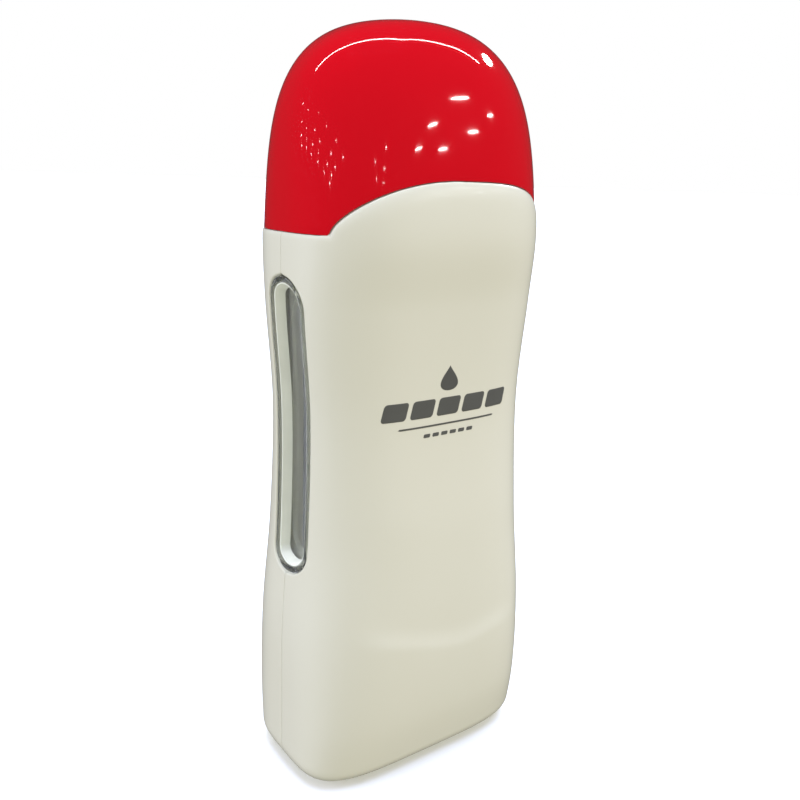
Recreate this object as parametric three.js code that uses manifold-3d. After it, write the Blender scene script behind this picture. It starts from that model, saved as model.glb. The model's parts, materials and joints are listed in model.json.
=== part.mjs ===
// Hand-held electric warmer for roll-on wax cartridges, standing upright on its base.
// Two white half shells join at a seam round the sides, a red cap lifts off the top, and a clear
// window on each side shows the cartridge chamber, whose front and rear walls are heated plates.
// Millimetres. X is the width, Y the depth with the front at -Y, and Z is up from the surface it stands on.
import * as THREE from "three";
import { mergeVertices } from "three/addons/utils/BufferGeometryUtils.js";
import Module from "manifold-3d";

const wasm = await Module();
wasm.setup();

// ---------------------------------------------------------------- driving dimensions
const HEIGHT = 205; // surface to the top of the cap
const FOOT_GAP = 0.8; // the rubber feet hold the shells this far off the surface
const SHELL_WALL = 2;
const CAP_WALL = 2;
const FIT = 0.3; // gap between pieces that fit into each other
const RING_STEPS = 36; // points round each oval section

// Height, half-width, half-depth and section power of the shells. The power says how square the
// oval section is: 2 is an ellipse.
const BODY_STATIONS = [
  [0, 38.2, 21.4, 4.2],
  [20, 38.0, 25.7, 3.8],
  [45, 37.6, 26.7, 3.4],
  [74, 35.8, 24.8, 3.2],
  [107, 35.4, 22.2, 3.2],
  [135, 37.2, 23.2, 3.2],
  [152, 37.3, 25.4, 3.1],
  [170, 37.0, 24.3, 2.9],
];
const BASE_ROUND_X = 6.2; // rounding of the bottom edge towards the sides
const BASE_ROUND_Y = 5.2; // and towards the front and rear

const SEAM_Z = 153.2; // the cap rests on the shells here
const ARCH_RISE = 13.3; // the shells rise this much higher in the middle of the front and rear
// That arch's two sides: it falls away sooner towards -X.
const ARCH_LEFT = { reach: 33.2, power: 2, lift: 0.575 };
const ARCH_RIGHT = { reach: 35, power: 3.4, lift: 0.4 };

const CAP_HALF_X = 37; // at the seam, where the dome curve starts
const CAP_HALF_Y = 24.7;
const CAP_SEAM_POWER = 3.1; // section power there
const CAP_TOP_POWER = 2.15; // and at the very top

// The cartridge chamber.
const CHAMBER_X = 27.3; // half-width inside
const CHAMBER_Y = 14.9; // half-depth inside
const CHAMBER_ROUND = 5;
const LINER_WALL = 1.4;
const LINER_BOTTOM_Z = 44;
const FLOOR_TOP_Z = 48;
const LINER_TOP_Z = 153;
const COLLAR_FIT = 0.5;
const COLLAR_BOTTOM_Z = 146;
const COLLAR_TOP_Z = 164;

// The side windows: a long slot whose front edge stands further from the parting line than its rear
// edge. The ends are the heights of the rounded ends on each side of the tip.
const WINDOW = { bottom: 61.3, top: 142.6, front: 9.8, rear: 7.4, endFront: 8.5, endRear: 6 };
const LENS_WALL = 1.2;
const TRAY_DEPTH = 3.5; // each window is a clear tray whose pane lies this deep
const TRAY_WALL = 1.3;
// The chamber's own side slots, behind the windows.
const LINER_SLOT = { bottom: 63.5, top: 136, front: 11, rear: 9.4, endFront: 6, endRear: 6 };

// Heater plates, let into the chamber's front and rear walls.
const PLATE_HALF_X = 22;
const PLATE_BOTTOM_Z = 54;
const PLATE_TOP_Z = 141;
const PLATE_THICK = 1.2;
const PLATE_FLANGE = 1.5;
const PLATE_FLANGE_THICK = 0.6;
const HEATER_HALF_X = 13;
const HEATER_BOTTOM_Z = 66;
const HEATER_TOP_Z = 83;

// Depths of the heater's layers behind each plate, from the chamber outwards.
const FLANGE_NEAR = CHAMBER_Y + LINER_WALL + 0.05;
const PLATE_BACK = FLANGE_NEAR + PLATE_FLANGE_THICK;
const CERAMIC_NEAR = PLATE_BACK + 0.1;
const CERAMIC_FAR = CERAMIC_NEAR + 1.8;
const FILM_NEAR = CERAMIC_FAR + 0.1;
const FILM_FAR = FILM_NEAR + 0.25;
const CLAMP_NEAR = FILM_FAR + 0.1;
const CLAMP_FAR = CLAMP_NEAR + 0.5;
const CLAMP_HALF_X = HEATER_HALF_X + 3.6;

// Screws from the rear shell into bosses of the front shell.
const SCREW_X = 27;
const SCREW_ZS = [16, 38];
const SCREW_HEAD_Y = 16;

// Mains inlet at the rear, pilot lamp above it.
const INLET_Z = 20;
const INLET_HALF_X = 11;
const INLET_HALF_Z = 7;
const INLET_REAR_Y = 24.6;
const INLET_DEPTH = 16;
const PIN_SPACING = 8.6;
const LAMP_Z = 37;
const BOARD_FRONT_Y = -7.6;
const BOARD_THICK = 1.6;

// ---------------------------------------------------------------- materials
const paint = (color, roughness, metalness = 0, extra = {}) =>
  new THREE.MeshStandardMaterial({ color, roughness, metalness, ...extra });
const MATERIAL = {
  ivory: paint(0xdedbcd, 0.28),
  red: paint(0xc2101c, 0.12),
  clear: paint(0xdfe6df, 0.08, 0, { transparent: true, opacity: 0.35 }),
  liner: paint(0xc9cabd, 0.5),
  aluminium: paint(0x9a9b97, 0.42, 1),
  steel: paint(0xb9bbbd, 0.3, 1),
  brass: paint(0xc9b26a, 0.3, 1),
  ceramic: paint(0xe6e2d6, 0.6),
  film: paint(0xb0702a, 0.35),
  rubber: paint(0x4b4d4c, 0.85),
  black: paint(0x1b1c1e, 0.4),
  board: paint(0x2f6b43, 0.5),
  lampRed: paint(0xd8452c, 0.15),
  glass: paint(0xe8eeee, 0.05, 0, { transparent: true, opacity: 0.4 }),
  wireRed: paint(0xa52a22, 0.5),
  wireBlue: paint(0x2d5fa8, 0.5),
  wireWhite: paint(0xe4e2da, 0.5),
};

// ---------------------------------------------------------------- solid helpers
function solid(geometry) {
  const bare = geometry.clone();
  bare.deleteAttribute("normal");
  bare.deleteAttribute("uv");
  const merged = mergeVertices(bare, 1e-4);
  return new wasm.Manifold(
    new wasm.Mesh({
      numProp: 3,
      vertProperties: merged.attributes.position.array,
      triVerts: new Uint32Array(merged.index.array),
    }),
  );
}

function geometryOf(made) {
  const mesh = made.getMesh();
  const geometry = new THREE.BufferGeometry();
  geometry.setAttribute("position", new THREE.BufferAttribute(mesh.vertProperties, 3));
  geometry.setIndex(new THREE.BufferAttribute(mesh.triVerts, 1));
  geometry.computeVertexNormals();
  return geometry;
}

const warmer = new THREE.Group();

function add(name, made, material) {
  const mesh = new THREE.Mesh(geometryOf(made), material);
  mesh.name = name;
  warmer.add(mesh);
  return mesh;
}

function box(x0, x1, y0, y1, z0, z1) {
  const geometry = new THREE.BoxGeometry(x1 - x0, y1 - y0, z1 - z0);
  return solid(geometry.translate((x0 + x1) / 2, (y0 + y1) / 2, (z0 + z1) / 2));
}

// A cylinder along Y from y0 to y1, round the point (x, z).
function rodY(radius, x, z, y0, y1, sides = 16) {
  const geometry = new THREE.CylinderGeometry(radius, radius, y1 - y0, sides);
  return solid(geometry.translate(x, (y0 + y1) / 2, z));
}

function rodZ(radius, x, y, z0, z1, sides = 16) {
  const geometry = new THREE.CylinderGeometry(radius, radius, z1 - z0, sides).rotateX(Math.PI / 2);
  return solid(geometry.translate(x, y, (z0 + z1) / 2));
}

function rodX(radius, y, z, x0, x1, sides = 12) {
  const geometry = new THREE.CylinderGeometry(radius, radius, x1 - x0, sides).rotateZ(Math.PI / 2);
  return solid(geometry.translate((x0 + x1) / 2, y, z));
}

// An upright prism with a rounded rectangular outline.
function roundedPrism(halfX, halfY, round, z0, z1, segments = 5) {
  const outline = new THREE.Shape();
  outline.absarc(halfX - round, halfY - round, round, 0, Math.PI / 2);
  outline.absarc(round - halfX, halfY - round, round, Math.PI / 2, Math.PI);
  outline.absarc(round - halfX, round - halfY, round, Math.PI, 1.5 * Math.PI);
  outline.absarc(halfX - round, round - halfY, round, 1.5 * Math.PI, 2 * Math.PI);
  const settings = { depth: z1 - z0, bevelEnabled: false, curveSegments: segments };
  return solid(new THREE.ExtrudeGeometry(outline, settings).translate(0, 0, z0));
}

// A closed solid through level oval rings, each { z, x, y, power } with half-width x and half-depth y.
function loft(rings) {
  const positions = [];
  const index = [];
  const signedPower = (value, power) => Math.sign(value) * Math.abs(value) ** power;
  for (const ring of rings)
    for (let i = 0; i < RING_STEPS; i++) {
      const angle = (2 * Math.PI * i) / RING_STEPS;
      const power = 2 / ring.power;
      const x = ring.x * signedPower(Math.cos(angle), power);
      const y = ring.y * signedPower(Math.sin(angle), power);
      positions.push(x, y, ring.z);
    }
  for (let k = 0; k + 1 < rings.length; k++)
    for (let i = 0; i < RING_STEPS; i++) {
      const next = (i + 1) % RING_STEPS;
      const [a, b] = [k * RING_STEPS + i, k * RING_STEPS + next];
      const [c, d] = [b + RING_STEPS, a + RING_STEPS];
      index.push(a, b, c, a, c, d);
    }
  const bottom = positions.length / 3;
  positions.push(0, 0, rings[0].z, 0, 0, rings[rings.length - 1].z);
  const last = (rings.length - 1) * RING_STEPS;
  for (let i = 0; i < RING_STEPS; i++) {
    const next = (i + 1) % RING_STEPS;
    index.push(bottom, next, i, bottom + 1, last + i, last + next);
  }
  const geometry = new THREE.BufferGeometry();
  geometry.setAttribute("position", new THREE.Float32BufferAttribute(positions, 3));
  geometry.setIndex(index);
  return solid(geometry);
}

// ---------------------------------------------------------------- the outer form
// Catmull-Rom through the stations, for the value in the given column.
function between(stations, z, column) {
  const last = stations.length - 1;
  let i = 0;
  while (i < last - 1 && z > stations[i + 1][0]) i++;
  const [z1, z2] = [stations[i][0], stations[i + 1][0]];
  const [v1, v2] = [stations[i][column], stations[i + 1][column]];
  const slope = (a, b) => (stations[b][column] - stations[a][column]) / (stations[b][0] - stations[a][0]);
  const m1 = (z2 - z1) * slope(Math.max(i - 1, 0), i + 1);
  const m2 = (z2 - z1) * slope(i, Math.min(i + 2, last));
  const t = Math.min(Math.max((z - z1) / (z2 - z1), 0), 1);
  const bend = (2 * t ** 3 - 3 * t ** 2 + 1) * v1 + (t ** 3 - 2 * t ** 2 + t) * m1;
  return bend + (3 * t ** 2 - 2 * t ** 3) * v2 + (t ** 3 - t ** 2) * m2;
}

// How far a rounded bottom edge standing at floorZ pulls the wall in at height z.
function edgeRound(z, radius, floorZ) {
  const below = Math.max(radius - (z - floorZ), 0);
  return radius - Math.sqrt(Math.max(radius ** 2 - below ** 2, 0));
}

// The shells' section at height z, moved in by an inset.
function bodyRing(z, inset = 0) {
  const floorZ = FOOT_GAP + inset;
  return {
    z,
    x: between(BODY_STATIONS, z, 1) - edgeRound(z, BASE_ROUND_X - inset, floorZ) - inset,
    y: between(BODY_STATIONS, z, 2) - edgeRound(z, BASE_ROUND_Y - inset, floorZ) - inset,
    power: between(BODY_STATIONS, z, 3),
  };
}

// Evenly spread values, both ends included.
function spread(from, to, count) {
  return Array.from({ length: count }, (_, i) => from + ((to - from) * i) / (count - 1));
}

const EDGE_STEPS = [0, 0.7, 2, 4, 8]; // heights over the rounded bottom edge
const BODY_TOP = 170;

// The shells' outer form, moved in by an inset.
function bodySkin(inset) {
  const edge = EDGE_STEPS.map((step) => FOOT_GAP + inset + step);
  return loft([...edge, ...spread(18, BODY_TOP, 12)].map((z) => bodyRing(z, inset)));
}

// The cap's dome narrows late in its width and steadily in its depth.
function capRing(z) {
  const t = Math.max((z - SEAM_Z) / (HEIGHT - SEAM_Z), 0);
  return {
    z,
    x: CAP_HALF_X * (1 - t ** 4) ** 0.38,
    y: CAP_HALF_Y * (1 - t ** 1.4) ** 0.25,
    power: CAP_SEAM_POWER + (CAP_TOP_POWER - CAP_SEAM_POWER) * t,
  };
}

// The cap's inner face is its outer form shrunk towards the middle of its mouth.
function capInnerRing(z) {
  const innerHeight = HEIGHT - CAP_WALL - SEAM_Z;
  const outer = capRing(SEAM_Z + ((z - SEAM_Z) * (HEIGHT - SEAM_Z)) / innerHeight);
  return { ...outer, z, x: outer.x * (1 - CAP_WALL / CAP_HALF_X), y: outer.y * (1 - CAP_WALL / CAP_HALF_Y) };
}

// Heights of the cap's rings, closer together towards the top.
const domeLevels = (from, top, count) => spread(0, 1, count).map((s) => top - (top - from) * (1 - s) ** 2);

// Everything under the seam between cap and shells, grown by a gap. The seam is level at the sides
// and arched over the front and rear.
function belowSeam(gap) {
  const reach = 60;
  const outline = new THREE.Shape();
  outline.moveTo(-reach, -5);
  outline.lineTo(reach, -5);
  outline.lineTo(reach, SEAM_Z + gap);
  const archPoints = 26;
  for (let i = 0; i <= archPoints; i++) {
    const share = Math.cos((Math.PI * i) / archPoints);
    const side = share > 0 ? ARCH_RIGHT : ARCH_LEFT;
    const rise = ARCH_RISE * (1 - Math.abs(share) ** side.power) ** side.lift;
    outline.lineTo(share * (side.reach + gap), SEAM_Z + rise + gap);
  }
  outline.lineTo(-reach, SEAM_Z + gap);
  const geometry = new THREE.ExtrudeGeometry(outline, { depth: 2 * reach, bevelEnabled: false });
  return solid(geometry.rotateX(Math.PI / 2).translate(0, reach, 0));
}

// A slot with rounded ends, grown by a margin, as a prism along X through one side or both.
function slotPrism(slot, margin, x0, x1) {
  const half = (slot.top - slot.bottom) / 2 + margin;
  const middle = (slot.top + slot.bottom) / 2;
  const outline = new THREE.Shape();
  const ends = [
    { reach: slot.rear + margin, end: slot.endRear + margin, side: 1 },
    { reach: -slot.front - margin, end: slot.endFront + margin, side: -1 },
  ];
  const quarter = 6;
  const points = [];
  for (const { reach, end, side } of ends)
    for (const flip of [side, -side])
      for (let i = 0; i < quarter; i++) {
        const angle = (Math.PI / 2) * (i / quarter);
        const leaving = flip === side; // from the tip outwards; the other quarter comes back to its tip
        const along = leaving ? Math.sin(angle) : Math.cos(angle);
        const up = leaving ? Math.cos(angle) : Math.sin(angle);
        points.push(new THREE.Vector2(reach * along, middle + flip * (half - end + end * up)));
      }
  outline.setFromPoints(points);
  const geometry = new THREE.ExtrudeGeometry(outline, { depth: x1 - x0, bevelEnabled: false });
  const turn = new THREE.Matrix4().makeBasis(
    new THREE.Vector3(0, 1, 0),
    new THREE.Vector3(0, 0, 1),
    new THREE.Vector3(1, 0, 0),
  );
  return solid(geometry.applyMatrix4(turn).translate(x0, 0, 0));
}

// ---------------------------------------------------------------- shells
const BASE_OPENING = { x: 26.5, y: 12.6, power: 4 };
const baseOpening = loft([
  { z: -1, ...BASE_OPENING },
  { z: 6, ...BASE_OPENING },
]);
const bodyTube = bodySkin(0)
  .subtract(bodySkin(SHELL_WALL))
  .subtract(baseOpening)
  .subtract(slotPrism(WINDOW, 0, -50, 50))
  .intersect(belowSeam(0));

const PARTING_GAP = 0.1;
const frontHalf = box(-60, 60, -60, -PARTING_GAP / 2, -5, 220);
const rearHalf = box(-60, 60, PARTING_GAP / 2, 60, -5, 220);
// A piece that must end inside a shell's wall is trimmed to the middle of that wall.
const wallMiddle = bodySkin(SHELL_WALL / 2);
const BOSS_RADIUS = 3.2;
const RIB_X = 22;

// A slab on one side of the chamber: side -1 is the front and 1 the rear, near and far are depths.
function slab(side, x0, x1, near, far, z0, z1) {
  return side < 0 ? box(x0, x1, -far, -near, z0, z1) : box(x0, x1, near, far, z0, z1);
}

// Ribs on the inside of a shell: two carry the liner's bottom, two press on the heater plate.
function shellRibs(side) {
  const ribs = [-RIB_X, RIB_X].flatMap((x) => [
    slab(side, x - 1, x + 1, 11, 30, LINER_BOTTOM_Z - 8, LINER_BOTTOM_Z - FIT),
    slab(side, x - 1, x + 1, CHAMBER_Y + LINER_WALL + FIT, 30, LINER_BOTTOM_Z - 8, LINER_BOTTOM_Z + 8),
  ]);
  for (const x of [-12, 12]) ribs.push(slab(side, x - 0.8, x + 0.8, PLATE_BACK + 0.15, 30, 94, 132));
  return ribs.reduce((all, rib) => all.add(rib)).intersect(wallMiddle);
}

function makeFrontShell() {
  let shell = bodyTube.intersect(frontHalf).add(shellRibs(-1));
  for (const x of [-SCREW_X, SCREW_X])
    for (const z of SCREW_ZS) {
      const boss = rodY(BOSS_RADIUS, x, z, -30, -1).intersect(wallMiddle);
      shell = shell.add(boss).subtract(rodY(1.6, x, z, -15, 0, 10));
    }
  for (const x of [-13, 13])
    for (const z of [14, 32]) {
      const boardPost = rodY(2, x, z, -30, BOARD_FRONT_Y - 0.2, 10).intersect(wallMiddle);
      shell = shell.add(boardPost);
    }
  return shell;
}

function makeRearShell() {
  let shell = bodyTube.intersect(rearHalf).add(shellRibs(1));
  for (const x of [-SCREW_X, SCREW_X])
    for (const z of SCREW_ZS) {
      const boss = rodY(5, x, z, 1, 30).intersect(wallMiddle);
      shell = shell.add(boss).subtract(rodY(1.8, x, z, 0, 30, 10));
      shell = shell.subtract(rodY(3.5, x, z, SCREW_HEAD_Y - 2.4, 30));
    }
  const [socketX, socketZ] = [INLET_HALF_X + FIT, INLET_HALF_Z + FIT];
  const socket = box(-socketX, socketX, 10, 40, INLET_Z - socketZ, INLET_Z + socketZ);
  return shell.subtract(socket).subtract(rodY(2.8, 0, LAMP_Z, 10, 40));
}

add("front_shell", makeFrontShell(), MATERIAL.ivory);
add("rear_shell", makeRearShell(), MATERIAL.ivory);

// ---------------------------------------------------------------- cap
// The topmost rings keep the small flat of just under the height.
const SLIVER = 0.02;
const outerDomeRing = (z) => ({ ...capRing(Math.min(z, HEIGHT - SLIVER)), z });
const capOuter = loft(domeLevels(152, HEIGHT, 12).map(outerDomeRing));
const capInner = loft(domeLevels(150, HEIGHT - CAP_WALL - SLIVER, 11).map(capInnerRing));
add("cap", capOuter.subtract(capInner).subtract(belowSeam(FIT)), MATERIAL.red);

// ---------------------------------------------------------------- neck collar and chamber
// The collar closes the top of the shells and guides the cap; its mouth is the chamber's mouth.
function collarRing(z) {
  const inside = z < SEAM_Z ? bodyRing(z, SHELL_WALL) : capInnerRing(z);
  const shell = bodyRing(z, SHELL_WALL);
  const [x, y] = [Math.min(inside.x, shell.x) - COLLAR_FIT, Math.min(inside.y, shell.y) - COLLAR_FIT];
  return { z, x, y, power: Math.min(inside.power, shell.power) };
}

function chamberPrism(growth, z0, z1) {
  return roundedPrism(CHAMBER_X + growth, CHAMBER_Y + growth, CHAMBER_ROUND + growth, z0, z1);
}

const COLLAR_LEVELS = [COLLAR_BOTTOM_Z, 149, 152, 153.5, 154.5, 158, 161, COLLAR_TOP_Z];
add(
  "neck_collar",
  loft(COLLAR_LEVELS.map(collarRing))
    .subtract(chamberPrism(0.4, COLLAR_BOTTOM_Z - 1, COLLAR_TOP_Z + 1))
    .subtract(chamberPrism(LINER_WALL + FIT, COLLAR_BOTTOM_Z - 1, LINER_TOP_Z + FIT)),
  MATERIAL.ivory,
);

const PLATE_GAP = 0.25;
function makeLiner() {
  let liner = chamberPrism(LINER_WALL, LINER_BOTTOM_Z, LINER_TOP_Z)
    .subtract(chamberPrism(0, LINER_BOTTOM_Z + 1.5, LINER_TOP_Z + 1))
    .subtract(chamberPrism(-3, LINER_BOTTOM_Z - 1, LINER_TOP_Z));
  liner = liner.subtract(slotPrism(LINER_SLOT, 0, -50, 50));
  const edge = PLATE_HALF_X + PLATE_GAP;
  return liner.subtract(box(-edge, edge, -30, 30, PLATE_BOTTOM_Z - PLATE_GAP, PLATE_TOP_Z + PLATE_GAP));
}
add("chamber_liner", makeLiner(), MATERIAL.liner);
add("chamber_floor", chamberPrism(-0.2, LINER_BOTTOM_Z + 1.7, FLOOR_TOP_Z), MATERIAL.liner);

// ---------------------------------------------------------------- windows
function makeLens(side) {
  const reach = side < 0 ? [-50, -15] : [15, 50];
  const block = slotPrism(WINDOW, -FIT, ...reach).intersect(bodySkin(0.3));
  const flange = slotPrism(WINDOW, 2, ...reach).intersect(bodySkin(SHELL_WALL + FIT));
  const hollow = slotPrism(WINDOW, -FIT - TRAY_WALL, ...reach).subtract(bodySkin(TRAY_DEPTH));
  return block
    .subtract(bodySkin(TRAY_DEPTH + LENS_WALL))
    .add(flange.subtract(bodySkin(SHELL_WALL + FIT + LENS_WALL)))
    .subtract(hollow);
}
add("window_left", makeLens(-1), MATERIAL.clear);
add("window_right", makeLens(1), MATERIAL.clear);

// ---------------------------------------------------------------- heaters
// Each side has a plate let into the liner, a ceramic heater on its back, a film and a clamp over it.
function makePlate(side) {
  const wide = PLATE_HALF_X + PLATE_FLANGE;
  const [bottom, top] = [PLATE_BOTTOM_Z - PLATE_FLANGE, PLATE_TOP_Z + PLATE_FLANGE];
  return slab(side, -PLATE_HALF_X, PLATE_HALF_X, CHAMBER_Y, PLATE_BACK, PLATE_BOTTOM_Z, PLATE_TOP_Z)
    .add(slab(side, -wide, wide, FLANGE_NEAR, PLATE_BACK, bottom, top));
}

// A strap over the heater whose two legs stand on the plate.
function makeClamp(side) {
  const [bottom, top] = [HEATER_BOTTOM_Z + 3, HEATER_TOP_Z - 3];
  const leg = CLAMP_HALF_X - 0.5;
  return slab(side, -CLAMP_HALF_X, CLAMP_HALF_X, CLAMP_NEAR, CLAMP_FAR, bottom, top)
    .add(slab(side, -CLAMP_HALF_X, -leg, CERAMIC_NEAR, CLAMP_FAR, bottom, top))
    .add(slab(side, leg, CLAMP_HALF_X, CERAMIC_NEAR, CLAMP_FAR, bottom, top));
}

for (const [name, side] of [["front", -1], ["rear", 1]]) {
  add(`heater_plate_${name}`, makePlate(side), MATERIAL.aluminium);
  const ceramic = [-HEATER_HALF_X, HEATER_HALF_X, CERAMIC_NEAR, CERAMIC_FAR, HEATER_BOTTOM_Z, HEATER_TOP_Z];
  add(`ceramic_heater_${name}`, slab(side, ...ceramic), MATERIAL.ceramic);
  const filmX = HEATER_HALF_X + 1;
  const film = slab(side, -filmX, filmX, FILM_NEAR, FILM_FAR, HEATER_BOTTOM_Z - 1, HEATER_TOP_Z + 1);
  add(`insulating_film_${name}`, film, MATERIAL.film);
  add(`heater_clamp_${name}`, makeClamp(side), MATERIAL.steel);
}

// A bimetal thermostat on the rear plate and a thermal fuse on the front plate, both under the heaters.
const CONTROL_Z = 59;
const THERMOSTAT_HALF_X = 10;
const FUSE_HALF_X = 6;
const thermostatCase = [-THERMOSTAT_HALF_X, THERMOSTAT_HALF_X, CERAMIC_NEAR, CERAMIC_NEAR + 3.6];
add("thermostat", box(...thermostatCase, CONTROL_Z - 3.7, CONTROL_Z + 3.7), MATERIAL.black);
add("thermal_fuse", rodX(1.7, -CERAMIC_NEAR - 1.75, CONTROL_Z, -FUSE_HALF_X, FUSE_HALF_X), MATERIAL.ceramic);

// ---------------------------------------------------------------- base
const BASE_PLATE_TOP = FOOT_GAP + SHELL_WALL + FIT + 1.6;
const FOOT_X = 18.5;
const FOOT_Y = 7.6;
const FOOT_RADIUS = 3.4;
const FOOT_TOP = 1.9;
function baseRing(z, growth) {
  return { z, x: BASE_OPENING.x + growth, y: BASE_OPENING.y + growth, power: BASE_OPENING.power };
}
let basePlate = loft([baseRing(FOOT_GAP + 0.2, -FIT), baseRing(BASE_PLATE_TOP, -FIT)]).add(
  loft([baseRing(FOOT_GAP + SHELL_WALL + FIT, 1.6), baseRing(BASE_PLATE_TOP, 1.6)]),
);
const footPlaces = [-1, 1].flatMap((x) => [-1, 1].map((y) => [x * FOOT_X, y * FOOT_Y]));
for (const [x, y] of footPlaces) {
  const recess = rodZ(FOOT_RADIUS + 0.2, x, y, -1, FOOT_TOP + 0.2);
  basePlate = basePlate.subtract(recess);
}
add("base_plate", basePlate, MATERIAL.ivory);
footPlaces.forEach(([x, y], i) => {
  add(`rubber_foot_${i + 1}`, rodZ(FOOT_RADIUS, x, y, 0, FOOT_TOP, 20), MATERIAL.rubber);
});

// ---------------------------------------------------------------- case screws
let screwNumber = 0;
for (const x of [-SCREW_X, SCREW_X])
  for (const z of SCREW_ZS) {
    screwNumber++;
    const head = rodY(2.8, x, z, SCREW_HEAD_Y - 2.1, SCREW_HEAD_Y - 0.1);
    const cross = box(x - 1.6, x + 1.6, SCREW_HEAD_Y - 1, 20, z - 0.35, z + 0.35).add(
      box(x - 0.35, x + 0.35, SCREW_HEAD_Y - 1, 20, z - 1.6, z + 1.6),
    );
    const shank = rodY(1.3, x, z, -13, SCREW_HEAD_Y - 2, 10);
    add(`case_screw_${screwNumber}`, head.subtract(cross).add(shank), MATERIAL.steel);
  }

// ---------------------------------------------------------------- mains inlet, pilot lamp, board
// A two-pin inlet: a block with a figure-of-eight well, open to the rear.
const INLET_FRONT_Y = INLET_REAR_Y - INLET_DEPTH;
const WELL_DEPTH = 11;
function makeInlet() {
  const block = box(
    -INLET_HALF_X, INLET_HALF_X, INLET_FRONT_Y, INLET_REAR_Y, INLET_Z - INLET_HALF_Z, INLET_Z + INLET_HALF_Z,
  );
  const well = [INLET_REAR_Y - WELL_DEPTH, INLET_REAR_Y + 5];
  return block
    .subtract(rodY(4.1, -PIN_SPACING / 2, INLET_Z, ...well, 20))
    .subtract(rodY(4.1, PIN_SPACING / 2, INLET_Z, ...well, 20))
    .subtract(box(-PIN_SPACING / 2, PIN_SPACING / 2, ...well, INLET_Z - 3.2, INLET_Z + 3.2))
    .subtract(rodY(1.4, -PIN_SPACING / 2, INLET_Z, 0, 30, 12))
    .subtract(rodY(1.4, PIN_SPACING / 2, INLET_Z, 0, 30, 12));
}
add("mains_inlet", makeInlet(), MATERIAL.black);
for (const [name, x] of [["live", -PIN_SPACING / 2], ["neutral", PIN_SPACING / 2]])
  add(`inlet_pin_${name}`, rodY(1.15, x, INLET_Z, INLET_FRONT_Y - 4, INLET_REAR_Y - 2, 12), MATERIAL.brass);

const lampRear = bodyRing(LAMP_Z).y;
add(
  "lamp_lens",
  rodY(2.5, 0, LAMP_Z, lampRear - SHELL_WALL - 1.4, lampRear - 0.2).add(
    rodY(3.8, 0, LAMP_Z, lampRear - SHELL_WALL - 1.4, lampRear - SHELL_WALL - 0.3),
  ),
  MATERIAL.lampRed,
);
add("neon_lamp", rodY(2, 0, LAMP_Z, 9, lampRear - SHELL_WALL - 1.8, 12), MATERIAL.glass);

add("circuit_board", box(-17, 17, BOARD_FRONT_Y, BOARD_FRONT_Y + BOARD_THICK, 11, 35), MATERIAL.board);
const boardBack = BOARD_FRONT_Y + BOARD_THICK + 0.1;
add("lamp_resistor", rodX(1.2, boardBack + 1.3, 31, -4, 4), MATERIAL.film);
const BLOCK_BACK_Y = boardBack + 5;
add("terminal_block", box(-14.5, 14.5, boardBack, BLOCK_BACK_Y, 13, 20), MATERIAL.black);

// ---------------------------------------------------------------- leads, held all along their routes
const LEAD_RADIUS = 0.7;
function lead(name, points, material, radius = LEAD_RADIUS) {
  const curve = new THREE.CatmullRomCurve3(
    points.map((p) => new THREE.Vector3(...p)),
    false,
    "centripetal",
  );
  const section = new THREE.Shape();
  section.absarc(0, 0, radius, 0, 2 * Math.PI);
  const settings = { steps: 14, curveSegments: 3, bevelEnabled: false, extrudePath: curve };
  add(name, solid(new THREE.ExtrudeGeometry(section, settings)), material);
}
// Each end stops short of what it joins by the joint gap, and leaves it square over a short straight.
const JOINT_GAP = 0.3;
const STRAIGHT = 1.5;
const blockEnd = (x) => [
  [x, BLOCK_BACK_Y + STRAIGHT, 17.7],
  [x, BLOCK_BACK_Y + JOINT_GAP, 17.5],
];
const pinEnd = (x) => [
  [(x * PIN_SPACING) / 2, INLET_FRONT_Y - 4 - STRAIGHT, INLET_Z + 0.2],
  [(x * PIN_SPACING) / 2, INLET_FRONT_Y - 4 - JOINT_GAP, INLET_Z],
];

// From an end of the thermostat down behind the chamber into the space round the inlet.
const thermostatY = CERAMIC_NEAR + 1.8;
const thermostatRun = (x) => [
  [x * (THERMOSTAT_HALF_X + JOINT_GAP), thermostatY, CONTROL_Z],
  [x * (THERMOSTAT_HALF_X + STRAIGHT), thermostatY, CONTROL_Z - 0.2],
  [x * 12.9, 19.2, 54],
  [x * 12.2, 19.2, 47],
  [x * 11.5, 17.5, 40.5],
];
// From an end of the fuse down in front of the chamber, then back over the top of the board.
const fuseY = -CERAMIC_NEAR - 1.75;
const fuseRun = (x) => [
  [x * (FUSE_HALF_X + JOINT_GAP), fuseY, CONTROL_Z],
  [x * (FUSE_HALF_X + STRAIGHT), fuseY, CONTROL_Z - 0.2],
  [x * 10, -19.5, 53],
  [x * 9, -19, 45.5],
  [x * 6, -14, 40],
  [x * 2, 0, 33.5],
];
const liveEnd = [[-8.5, 9, 31.5], [-5.3, 3.5, 24.5], ...pinEnd(-1)];
lead("live_lead", [...thermostatRun(-1), ...liveEnd], MATERIAL.wireRed);
const thermostatEnd = [[10.5, 9, 31.5], [10.5, 3.5, 23.5], ...blockEnd(10.5)];
lead("thermostat_lead", [...thermostatRun(1), ...thermostatEnd], MATERIAL.wireRed);
lead("neutral_lead", [...fuseRun(1), [3.2, 2.3, 25.5], ...pinEnd(1)], MATERIAL.wireBlue);
lead("fuse_lead", [...fuseRun(-1), [-3.5, 1.8, 24.5], ...blockEnd(-4)], MATERIAL.wireBlue);

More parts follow.
